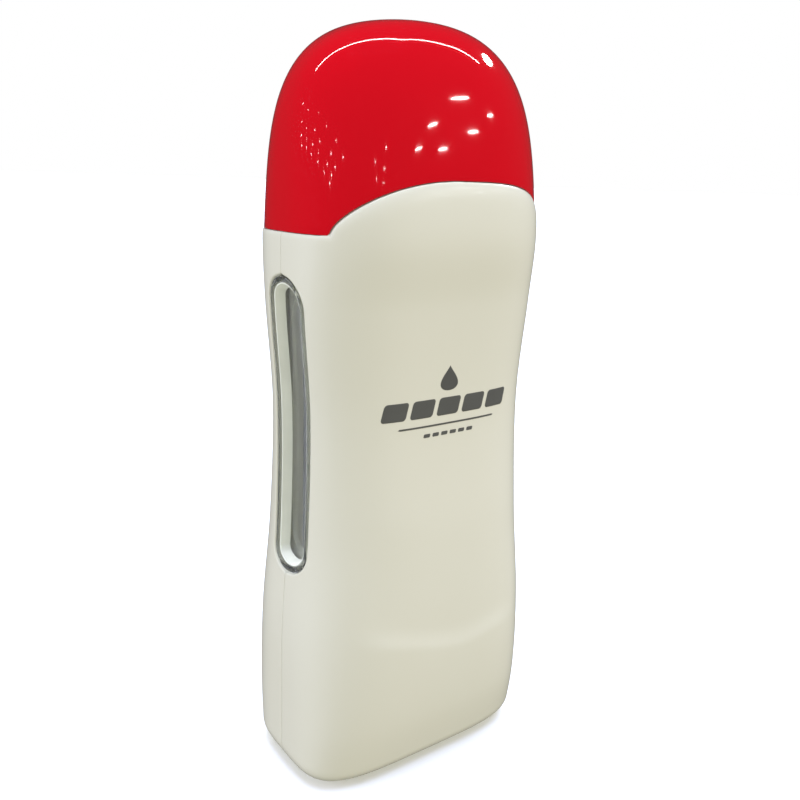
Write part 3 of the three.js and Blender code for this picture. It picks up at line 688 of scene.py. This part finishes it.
# Sections of a ring round the window: how far outside its outline, and how deep under the body's
# outer form. The clear tray goes from its pane over the wall and rim to the back of the pane.
TRAY_SECTION = [
    (-3.4, 3.5), (-2.4, 3.5), (-2.1, 3.47), (-1.9, 3.35), (-1.82, 3.1), (-1.8, 1.0), (-1.75, 0.65),
    (-1.6, 0.42), (-1.4, 0.32), (-1.1, 0.3), (-0.6, 0.3), (-0.42, 0.36), (-0.32, 0.55), (-0.3, 0.8),
    (-0.3, 2.3), (1.9, 2.3), (2.0, 2.4), (2.0, 3.4), (1.9, 3.5), (-0.3, 3.5), (-0.35, 4.4),
    (-0.7, 4.7), (-3.4, 4.7),
]
# A pale satin strip with a narrow flat top lines the tray's wall and slopes down to its pane. Its pale
# colour is painted light: it stands in for the lit band of chamber wall behind the lens.
STRIP_SECTION = [
    (-3.15, 3.42), (-3.05, 3.2), (-2.32, 0.95), (-2.22, 0.8), (-1.95, 0.78), (-1.87, 0.9), (-1.9, 3.2),
    (-2.0, 3.38), (-3.15, 3.42),
]


def window_ring(side, section, into):
    """Carries a section round the window, following the body's side."""
    rows = []
    for margin, depth in section:
        y, z = window_outline(margin).T
        rows.append(np.stack([side * side_wall(y, z, depth), y, z], axis=-1))
    ids = into.add(np.array(rows))
    into.sheet(ids, wrap=True)
    return ids


def make_tray(side):
    """The clear tray: its wall and rim, then the two faces of its pane."""
    made = Builder()
    rim = window_ring(side, TRAY_SECTION, made)
    inner = window_outline(TRAY_SECTION[0][0])
    middle_y = inner[:, 0].min() / 2 + inner[:, 0].max() / 2
    ends = np.clip(inner[:, 1], inner[:, 1].min() + 6, inner[:, 1].max() - 6)
    spine = np.stack([np.full(len(inner), middle_y), ends], axis=-1)
    for ring_ids, depth in ((rim[0], TRAY_SECTION[0][1]), (rim[-1], TRAY_SECTION[-1][1])):
        rows = [ring_ids]
        for k in (0.25, 0.5, 0.75, 1.0):
            y, z = (inner * (1 - k) + spine * k).T
            rows.append(made.add(np.stack([side * side_wall(y, z, depth), y, z], axis=-1)))
        made.sheet(np.array(rows), wrap=True)
    return made


for side, word in ((-1, "left"), (1, "right")):
    build(f"lens_{word}", make_tray(side), LOOKS["window_clear"], "body",
          [f"window_{word}"])
    # The pale strip paints in the light on the chamber wall behind the lens.
    strip = Builder()
    window_ring(side, STRIP_SECTION, strip)
    build(f"lens_painted_light_strip_{word}", strip, WINDOW_PAINTED_LIGHT, "body")


# ------------------------------------------------------------------ rear shell's openings
def node_middle(node):
    low, high = span(node)
    return (low + high) / 2


screw_nodes = [n for n in sorted(frame["nodes"]) if n.startswith("case_screw")]
inlet_low, inlet_high = span("mains_inlet")
lamp_low, lamp_high = span("lamp_lens")


def rear_wall(x, z):
    """The body's half-depth at a place on its front or rear."""
    half_x, half_y, power = body_ring(z)
    return half_y * (1 - np.clip(np.abs(x) / half_x, 0, 1) ** power) ** (1 / power)


def screw_boss(centre_x, centre_z, into):
    """A post from the parting plane to the middle of the rear wall."""
    rows = []
    for radius, start in ((5, 1.0), (5, None), (4, None), (3, None), (1.5, None), (0.1, None)):
        x, z = (circle(radius, 48) + (centre_x, centre_z)).T
        y = np.full(len(x), start) if start else rear_wall(x, z) - SHELL_WALL / 2
        rows.append(np.stack([x, y, z], axis=-1))
    ids = into.add(np.array(rows))
    into.sheet(ids, wrap=True)
    into.faces.append(ids[0].tolist())
    into.faces.append(ids[-1][::-1].tolist())


bosses, bores = Builder(), Builder()
for node in screw_nodes:
    (x, _, z), top = node_middle(node), span(node)[1][1]
    screw_boss(x, z, bosses)
    lathe([(1.8, 0), (1.8, top - 2.2), (3.5, top - 2.2), (3.5, 40)], "y", (x, 0, z), 48, bores)
socket = rounded_rectangle(inlet_high[0] + FIT, (inlet_high[2] - inlet_low[2]) / 2 + FIT, 1.3)
rings([(socket, 12), (socket, 40)], "y", (0, 0, node_middle("mains_inlet")[2]), bores)
lathe([(2.8, 12), (2.8, 40)], "y", (0, 0, node_middle("lamp_lens")[2]), 48, bores)
combine(rear_shell, bosses, "UNION")
combine(rear_shell, bores, "DIFFERENCE")


# ------------------------------------------------------------------ neck collar and chamber
CHAMBER_X, CHAMBER_Y, CHAMBER_ROUND = 27.3, 14.9, 5.0
LINER_WALL = 1.4
COLLAR_FIT = 0.5
RING_POINTS = 180
collar_low, collar_high = span("neck_collar")
liner_low, liner_high = span("chamber_liner")


def spaced(outline, count=RING_POINTS):
    """The outline's points spread evenly, starting where it crosses the first axis."""
    closed = np.concatenate([outline, outline[:1]])
    run = np.concatenate([[0], np.cumsum(np.linalg.norm(np.diff(closed, axis=0), axis=1))])
    at = np.linspace(0, run[-1], count + 1)[:-1]
    return np.stack([np.interp(at, run, closed[:, 0]), np.interp(at, run, closed[:, 1])], axis=-1)


def oval_outline(half_x, half_y, power):
    return spaced(np.stack(oval(np.linspace(0, 2 * np.pi, 1441)[:-1], half_x, half_y, power), axis=-1))


def chamber_outline(growth):
    outline = rounded_rectangle(CHAMBER_X + growth, CHAMBER_Y + growth, CHAMBER_ROUND + growth, 12)
    start = np.array([[CHAMBER_X + growth, 0.0]])
    return spaced(np.concatenate([start, outline]))


def collar_outline(z, inset=0.0):
    shell = body_ring(z, SHELL_WALL)
    inside = shell if z < SEAM_Z else cap_inner_ring(z)
    half_x, half_y, power = (float(min(a, b)) for a, b in zip(shell, inside))
    return oval_outline(half_x - COLLAR_FIT - inset, half_y - COLLAR_FIT - inset, power)


def make_collar():
    low, high = collar_low[2], collar_high[2]
    lip, mouth = 0.9, 0.6
    turns = np.linspace(0, np.pi / 2, 6)
    liner_top = liner_high[2] + FIT
    rows = [(collar_outline(low, 0.3), low), (collar_outline(low), low + 0.3)]
    rows += [(collar_outline(z), z) for z in np.linspace(low + 1, high - lip, 24)]
    rows += [(collar_outline(high, lip * (1 - math.cos(t))), high - lip * (1 - math.sin(t)))
             for t in turns[1:]]
    rows += [(chamber_outline(0.4 + mouth * (1 - math.sin(t))), high - mouth * (1 - math.cos(t)))
             for t in turns]
    rows += [(chamber_outline(0.4), liner_top), (chamber_outline(LINER_WALL + FIT), liner_top)]
    rows += [(chamber_outline(LINER_WALL + FIT), low)]
    made = Builder()
    points = np.array([np.column_stack([outline, np.full(len(outline), z)]) for outline, z in rows])
    ids = made.add(points)
    made.sheet(np.concatenate([ids, ids[:1]]), wrap=True)
    return made


build("collar", make_collar(), LOOKS["collar_white"], "body", ["neck_collar"])


def make_liner():
    """The chamber's wall, with a rounded top edge and an inward step under its floor."""
    low, high = liner_low[2], liner_high[2]
    rows = [
        (chamber_outline(LINER_WALL), low), (chamber_outline(LINER_WALL), high - 0.3),
        (chamber_outline(LINER_WALL - 0.3), high), (chamber_outline(0.3), high),
        (chamber_outline(0), high - 0.3), (chamber_outline(0), low + 1.5),
        (chamber_outline(-3), low + 1.5), (chamber_outline(-3), low),
    ]
    made = Builder()
    points = np.array([np.column_stack([outline, np.full(len(outline), z)]) for outline, z in rows])
    ids = made.add(points)
    made.sheet(np.concatenate([ids, ids[:1]]), wrap=True)
    return made


SLOT = {"bottom": 63.5, "top": 136.0, "front": 11.0, "rear": 9.4, "end": 6.0}
liner = build("liner", make_liner(), LOOKS["liner_grey"], "body", ["chamber_liner"])
openings = Builder()
plate_low, plate_high = span("heater_plate_rear")
flange = 1.5
plate_edge = rounded_rectangle(
    plate_high[0] - flange + 0.25, (plate_high[2] - plate_low[2]) / 2 - flange + 0.25, 1.0
)
rings([(plate_edge, -40), (plate_edge, 40)], "y", (0, 0, (plate_high[2] + plate_low[2]) / 2), openings)
slot_outline = rounded_rectangle(
    (SLOT["front"] + SLOT["rear"]) / 2, (SLOT["top"] - SLOT["bottom"]) / 2, SLOT["end"], 12
)
rings([(slot_outline, -50), (slot_outline, 50)], "x",
      (0, (SLOT["rear"] - SLOT["front"]) / 2, (SLOT["top"] + SLOT["bottom"]) / 2), openings)
combine(liner, openings, "DIFFERENCE")

floor_low, floor_high = span("chamber_floor")
build(
    "chamber_bottom",
    rounded_prism(chamber_outline(-0.2), "z", floor_low[2], floor_high[2], 0.3, 0.6),
    LOOKS["liner_grey"], "body", ["chamber_floor"],
)

# ------------------------------------------------------------------ base plate and feet
plate_low, plate_high = span("base_plate")
open_x, open_y, open_power = BASE_OPENING
step_z = FOOT_GAP + SHELL_WALL + FIT
base_rows = [
    (oval_outline(open_x - FIT - inset, open_y - FIT - inset, open_power), z)
    for inset, z in ((0.5, plate_low[2]), (0.15, plate_low[2] + 0.15), (0, plate_low[2] + 0.5), (0, step_z))
]
rim = oval_outline(plate_high[0], plate_high[1], open_power)
base_rows += [(rim, step_z), (rim, plate_high[2])]
base = build("underside_plate", rings(base_rows, "z"), LOOKS["base_white"], "body",
             ["base_plate"])
recesses = Builder()
feet = [n for n in sorted(frame["nodes"]) if n.startswith("rubber_foot")]
for node in feet:
    low, high = span(node)
    x, y, _ = node_middle(node)
    radius = (high[0] - low[0]) / 2
    lathe([(radius + 0.5, -1), (radius + 0.5, plate_low[2] - 0.01), (radius + 0.2, plate_low[2] + 0.3),
           (radius + 0.2, high[2] + 0.2)], "z", (x, y, 0), 48, recesses)
    foot = rounded_prism(circle(radius, 48), "z", low[2], high[2], 0.5, 0.2, (x, y, 0))
    build(node.replace("rubber_", ""), foot, LOOKS["foot_rubber"], "body", [node])
combine(base, recesses, "DIFFERENCE")

# ------------------------------------------------------------------ screws
for node in screw_nodes:
    low, high = span(node)
    x, _, z = node_middle(node)
    top = high[1]
    head_radius = (high[0] - low[0]) / 2
    head = [(1.0, low[1]), (1.3, low[1] + 0.6), (1.3, top - 2), (head_radius, top - 1.9),
            (head_radius, top - 1.0), (head_radius - 0.15, top - 0.6), (head_radius - 0.6, top - 0.25),
            (head_radius - 1.3, top - 0.06), (0.5, top)]
    screw = build(node.replace("case_", ""), lathe(head, "y", (x, 0, z), 40), LOOKS["screw_steel"],
                  "body", [node])
    for half_a, half_b, depth in ((1.6, 0.36, 1.1), (0.36, 1.57, 1.04)):
        recess = Builder()
        wide = rounded_rectangle(half_a, half_b, 0.12, 3)
        rings([(wide * 0.7, top - depth), (wide * 1.02, top + depth / 10)], "y", (x, 0, z), recess)
        combine(screw, recess, "DIFFERENCE")

# ------------------------------------------------------------------ mains inlet and pilot lamp
PIN_SPACING, WELL_RADIUS, WELL_DEPTH = 8.6, 4.1, 11.0
WAIST_REACH = 2.56  # each end stops this far inside its pin
centre_z = (inlet_high[2] + inlet_low[2]) / 2
face = rounded_rectangle(inlet_high[0], (inlet_high[2] - inlet_low[2]) / 2, 1.0)
inlet = build(
    "inlet",
    rounded_prism(face, "y", inlet_low[1], inlet_high[1], 0.0, 0.35, (0, 0, centre_z)),
    LOOKS["control_black"], "body", ["mains_inlet"],
)
# The well is a figure of eight: two round ends that meet in a waist.
turns = np.linspace(0, 2 * np.pi, 73)[:-1]
round_end = WELL_RADIUS * np.stack([np.cos(turns), np.sin(turns)], axis=-1) + (PIN_SPACING / 2, 0)
wells = Builder()
mouth = inlet_high[1] - WELL_DEPTH
half = [p for p in np.roll(round_end, 36, axis=0) if p[0] > PIN_SPACING / 2 - WAIST_REACH]
figure = np.array(half + [(-x, -y) for x, y in half])
rings([(figure, mouth), (figure, inlet_high[1] - 0.4), (grown(figure, 0.4), inlet_high[1] + 0.01),
       (grown(figure, 0.4), inlet_high[1] + 3)], "y", (0, 0, centre_z), wells)
combine(inlet, wells, "DIFFERENCE")
holes = Builder()
for x in (-PIN_SPACING / 2, PIN_SPACING / 2):
    lathe([(1.4, 0), (1.4, mouth + 1)], "y", (x, 0, centre_z), 24, holes)
combine(inlet, holes, "DIFFERENCE")
for word in ("live", "neutral"):
    node = f"inlet_pin_{word}"
    low, high = span(node)
    radius = (high[0] - low[0]) / 2
    pin = rounded_prism(circle(radius, 32), "y", low[1], high[1], 0.2, 0.7, node_middle(node) * (1, 0, 1))
    build(f"pin_{word}", pin, LOOKS["pin_brass"], "body", [node])

lens_root, lens_tip = lamp_low[1], lamp_high[1]
lens_profile = [(3.8, lens_root), (3.8, lens_root + 1.1), (2.5, lens_root + 1.1), (2.5, lens_tip - 0.9),
                (2.4, lens_tip - 0.55), (2.0, lens_tip - 0.25), (1.2, lens_tip - 0.06),
                (0.4, lens_tip)]
build("pilot_lens", lathe(lens_profile, "y", node_middle("lamp_lens") * (1, 0, 1), 48), LOOKS["lamp_red"],
      "body", ["lamp_lens"])


# ------------------------------------------------------------------ print on the front
PRINT_RAISE, PRINT_SINK = 0.05, 0.12
PRINT_POINTS = 96


def print_mark(outline, into):
    """A thin raised mark over the front: outline is (x, z) and goes once round its middle."""
    edge = spaced(outline, PRINT_POINTS)
    centre = (edge.min(axis=0) + edge.max(axis=0)) / 2
    rows = []
    shares = [0.02, 0.25, 0.5, 0.75, 0.97, 1.0, 1.0, 0.75, 0.5, 0.25, 0.02]
    raise_by = [PRINT_RAISE] * 5 + [PRINT_RAISE * 0.6] + [-PRINT_SINK] * 5
    for share, lift in zip(shares, raise_by):
        x, z = (centre + (edge - centre) * share).T
        rows.append(np.stack([x, -rear_wall(x, z) - lift, z], axis=-1))
    ids = into.add(np.array(rows))
    into.sheet(ids, wrap=True)
    into.faces.append(ids[0].tolist())
    into.faces.append(ids[-1][::-1].tolist())


def bar(x0, x1, z0, z1, slant=0.0, radius=0.3):
    outline = rounded_rectangle((x1 - x0) / 2, (z1 - z0) / 2, min(radius, (z1 - z0) / 2 - 0.01))
    outline = outline + ((x0 + x1) / 2, (z0 + z1) / 2)
    outline[:, 0] += slant * (outline[:, 1] - z0)
    return outline


def drop(x, z, height):
    """A falling drop, point upwards."""
    t = np.linspace(0, 2 * np.pi, 73)[:-1]
    across = 0.62 * height * np.sin(t) * np.sin(t / 2) ** 1.6
    return np.stack([x + across, z + height * (0.5 + 0.5 * np.cos(t))], axis=-1)[::-1]


marks = Builder()
print_mark(drop(0.5, 113.2, 6.8), marks)
for i in range(5):
    print_mark(bar(-20.5 + 8.5 * i, -20.5 + 8.5 * i + 7.2, 106.6, 111.4, 0.25, 0.9), marks)
print_mark(bar(-15.5, 17.0, 104.0, 104.5, 0, 0.2), marks)
for i in range(6):
    print_mark(bar(-7.6 + 2.9 * i, -7.6 + 2.9 * i + 2.1, 101.2, 102.2, 0.2, 0.3), marks)
build("front_print", marks, PRINT_GREY, "body")


# ------------------------------------------------------------------ lights and setting
def panel_light(name, place, size, radiance, turn=0.0, shape="RECTANGLE"):
    """A lamp panel that shows only as a highlight. place is its middle and size its sides, in
    millimetres; it faces the warmer, turned about its own axis by an angle."""
    data = bpy.data.lights.new(name, "AREA")
    data.shape = shape
    data.size, data.size_y = (side * MM for side in size)
    data.energy = radiance * math.pi * size[0] * size[1] * MM * MM
    lamp = bpy.data.objects.new(name, data)
    scene.collection.objects.link(lamp)
    lamp.location = Vector(place) * MM
    aim = Vector((0, 0, HEIGHT * MM)) - lamp.location
    lamp.rotation_mode = "QUATERNION"
    spin = Matrix.Rotation(turn, 3, "Z").to_quaternion()
    lamp.rotation_quaternion = aim.to_track_quat("-Z", "Y") @ spin
    lamp.visible_camera = lamp.visible_diffuse = False
    return lamp


def soft_sun(name, direction, level, colour):
    """Even soft light from one direction. level is the share of white that it gives a white
    surface square to it."""
    data = bpy.data.lights.new(name, "SUN")
    data.energy = level * math.pi
    data.angle = math.radians(50)
    data.color = colour
    lamp = bpy.data.objects.new(name, data)
    scene.collection.objects.link(lamp)
    lamp.rotation_mode = "QUATERNION"
    lamp.rotation_quaternion = Vector(direction).to_track_quat("Z", "Y")
    lamp.visible_glossy = False


soft_sun("soft_left", (-0.8, 0.4, 0.15), 0.7, (0.97, 1.0, 1.35))
soft_sun("soft_front", (0.5, -0.85, 0.1), 0.36, (1.1, 0.99, 0.97))
soft_sun("soft_top", (0.1, -0.1, 1.0), 0.8, (0.86, 1.0, 1.5))
soft_sun("soft_right", (1.0, -0.1, 0.0), 0.3, (1.0, 0.98, 1.15))
soft_sun("soft_rear", (0.5, 0.9, 0.5), 0.25, (1.0, 1.0, 1.0))

# Two long tubes overhead. Places on the ceiling are shares of its height over the warmer.
CEILING = 1400
REACH = CEILING - HEIGHT
LAMP_LEVEL, TUBE_LEVEL, DOWNLIGHT_LEVEL = 40, 30, 60
for name, x, y, length, turn in (
    ("tube_left", -0.28, 0.13, 1750, -36), ("tube_right", 0.82, -0.36, 1270, -7)
):
    tube = panel_light(name, (x * REACH, y * REACH, CEILING), (length, 24), TUBE_LEVEL)
    tube.rotation_mode = "XYZ"
    tube.rotation_euler = (0, 0, math.radians(turn))

# A plain grid of flat oval lamps in front and to the right, and one large lamp over the right side.
GRID_STEP = 0.75
for row in range(2):
    for step in range(3):
        x, y = (row + 2) * GRID_STEP, -(step + 2) * GRID_STEP
        panel_light(f"oval_lamp_{row + 1}{step + 1}", (x * REACH, y * REACH, CEILING), (240, 34),
                    LAMP_LEVEL, shape="ELLIPSE")
panel_light("large_lamp", (2 * GRID_STEP * REACH, 0, CEILING), (460, 180), LAMP_LEVEL, shape="ELLIPSE")

# Rows of small downlights further off, to the left and in front.
for row in range(4):
    for step in range(6):
        drift = 0.14 * math.sin(5.3 * row + 2.9 * step)
        x, y = -2.1 - 1.0 * row + drift, -2.3 + (0.75 + 0.1 * row) * step - drift
        width = 14 * math.hypot(x, y)
        panel_light(f"downlight_{row + 1}{step + 1}", (x * REACH, y * REACH, CEILING),
                    (width, width / 2), DOWNLIGHT_LEVEL, shape="ELLIPSE")
for step in range(5):
    x, y = 0.3 * math.sin(3.1 * step + 1), -2.8 - 0.4 * step
    panel_light(f"downlight_front_{step + 1}", (x * REACH, y * REACH, CEILING), (60, 20),
                36, shape="ELLIPSE")

world = bpy.data.worlds.new("studio")
scene.world = world
world.use_nodes = True
nodes, links = world.node_tree.nodes, world.node_tree.links
nodes.clear()


def sky(colour):
    """An even background of one colour."""
    node = nodes.new("ShaderNodeBackground")
    node.inputs["Color"].default_value = (*colour, 1)
    return node.outputs["Background"]


def instead(ray, plain, other):
    """The other background for one kind of ray, and the plain one for the rest."""
    choice = nodes.new("ShaderNodeMixShader")
    links.new(path.outputs[ray], choice.inputs["Fac"])
    links.new(plain, choice.inputs[1])
    links.new(other, choice.inputs[2])
    return choice.outputs["Shader"]


# White behind the object, an even soft light on it, and a dark room in its reflections.
path = nodes.new("ShaderNodeLightPath")
around = instead("Is Glossy Ray", sky((0.8, 0.81, 0.76)), sky((0.05, 0.05, 0.05)))
around = instead("Is Camera Ray", around, sky((1, 1, 1)))
output = nodes.new("ShaderNodeOutputWorld")
links.new(around, output.inputs["Surface"])

floor_mesh = bpy.data.meshes.new("floor")
floor_work = bmesh.new()
bmesh.ops.create_grid(floor_work, x_segments=8, y_segments=8, size=60)
floor_work.to_mesh(floor_mesh)
floor_work.free()
floor = bpy.data.objects.new("floor", floor_mesh)
scene.collection.objects.link(floor)
floor_mesh.materials.append(
    moulded("floor_pale", (0.93, 0.93, 0.93), (0.91, 0.91, 0.91), (0.8, 0.9), Specular_IOR_Level=0.1)
)
floor.visible_glossy = floor.visible_diffuse = False
scene.view_settings.view_transform = "Standard"
